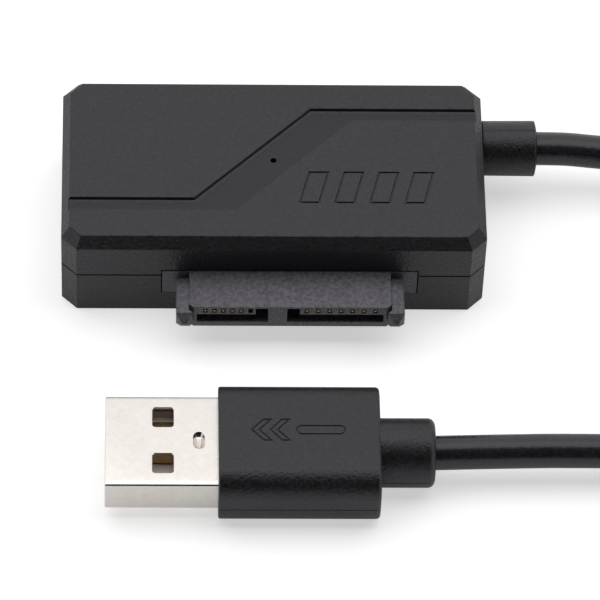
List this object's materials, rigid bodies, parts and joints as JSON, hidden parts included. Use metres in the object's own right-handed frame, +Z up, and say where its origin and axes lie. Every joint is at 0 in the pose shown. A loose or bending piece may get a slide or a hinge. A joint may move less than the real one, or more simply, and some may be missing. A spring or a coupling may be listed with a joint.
{
  "type": "usb to slimline sata adapter",
  "caption": "Adapter with a low rectangular two-part housing, a slimline SATA receptacle in its long front face, and a coiled cable to a moulded USB-A plug.",
  "frame": {"origin": "middle of the housing's flat underside, which rests on the table", "axes": "+X along the housing towards the cable's exit, -Y out of the SATA receptacle's face, +Z up"},
  "size_m": [0.1127, 0.0561, 0.012],
  "materials": {
    "housing_plastic": "fine matte texture",
    "connector_plastic": "matte, slightly mottled",
    "grip_plastic": "satin moulded",
    "cable_sheath": "satin extruded",
    "gold_plating": "polished",
    "nickel_plating": "bright satin",
    "board_resin": "satin",
    "chip_resin": "matte",
    "tinned_metal": "satin",
    "capacitor_ceramic": "matte",
    "lamp_resin": "clear",
    "tongue_plastic": "satin",
    "tie_sleeve": "satin",
    "ground_wire_sleeve": "satin",
    "power_wire_sleeve": "satin",
    "data_minus_wire_sleeve": "satin",
    "data_plus_wire_sleeve": "satin",
    "transmit_minus_wire_sleeve": "satin",
    "transmit_plus_wire_sleeve": "satin",
    "receive_minus_wire_sleeve": "satin",
    "receive_plus_wire_sleeve": "satin"
  },
  "bodies": {
    "root": {"upper_shell": "housing_plastic", "lower_shell": "housing_plastic", "sata_connector_body": "connector_plastic", "power_contact_1": "gold_plating", "power_contact_2": "gold_plating", "power_contact_3": "gold_plating", "power_contact_4": "gold_plating", "power_contact_5": "gold_plating", "signal_contact_1": "gold_plating", "signal_contact_2": "gold_plating", "signal_contact_3": "gold_plating", "signal_contact_4": "gold_plating", "signal_contact_5": "gold_plating", "signal_contact_6": "gold_plating", "signal_contact_7": "gold_plating", "circuit_board": "board_resin", "bridge_chip": "chip_resin", "flash_chip": "chip_resin", "voltage_regulator": "chip_resin", "crystal": "tinned_metal", "inductor": "chip_resin", "capacitor_1": "capacitor_ceramic", "capacitor_2": "capacitor_ceramic", "capacitor_3": "capacitor_ceramic", "capacitor_4": "capacitor_ceramic", "status_lamp": "lamp_resin", "strain_relief": "grip_plastic", "ground_wire": "ground_wire_sleeve", "power_wire": "power_wire_sleeve", "data_minus_wire": "data_minus_wire_sleeve", "data_plus_wire": "data_plus_wire_sleeve", "transmit_minus_wire": "transmit_minus_wire_sleeve", "transmit_plus_wire": "transmit_plus_wire_sleeve", "receive_minus_wire": "receive_minus_wire_sleeve", "receive_plus_wire": "receive_plus_wire_sleeve", "plug_grip": "grip_plastic", "plug_shell": "nickel_plating", "plug_tongue": "tongue_plastic", "plug_power_contact": "gold_plating", "plug_data_minus_contact": "gold_plating", "plug_data_plus_contact": "gold_plating", "plug_ground_contact": "gold_plating", "plug_receive_minus_contact": "gold_plating", "plug_receive_plus_contact": "gold_plating", "plug_drain_contact": "gold_plating", "plug_transmit_minus_contact": "gold_plating", "plug_transmit_plus_contact": "gold_plating", "cable_housing_lead": "cable_sheath", "cable_coil": "cable_sheath", "cable_plug_lead": "cable_sheath", "cable_tie": "tie_sleeve"}
  },
  "joints": []
}
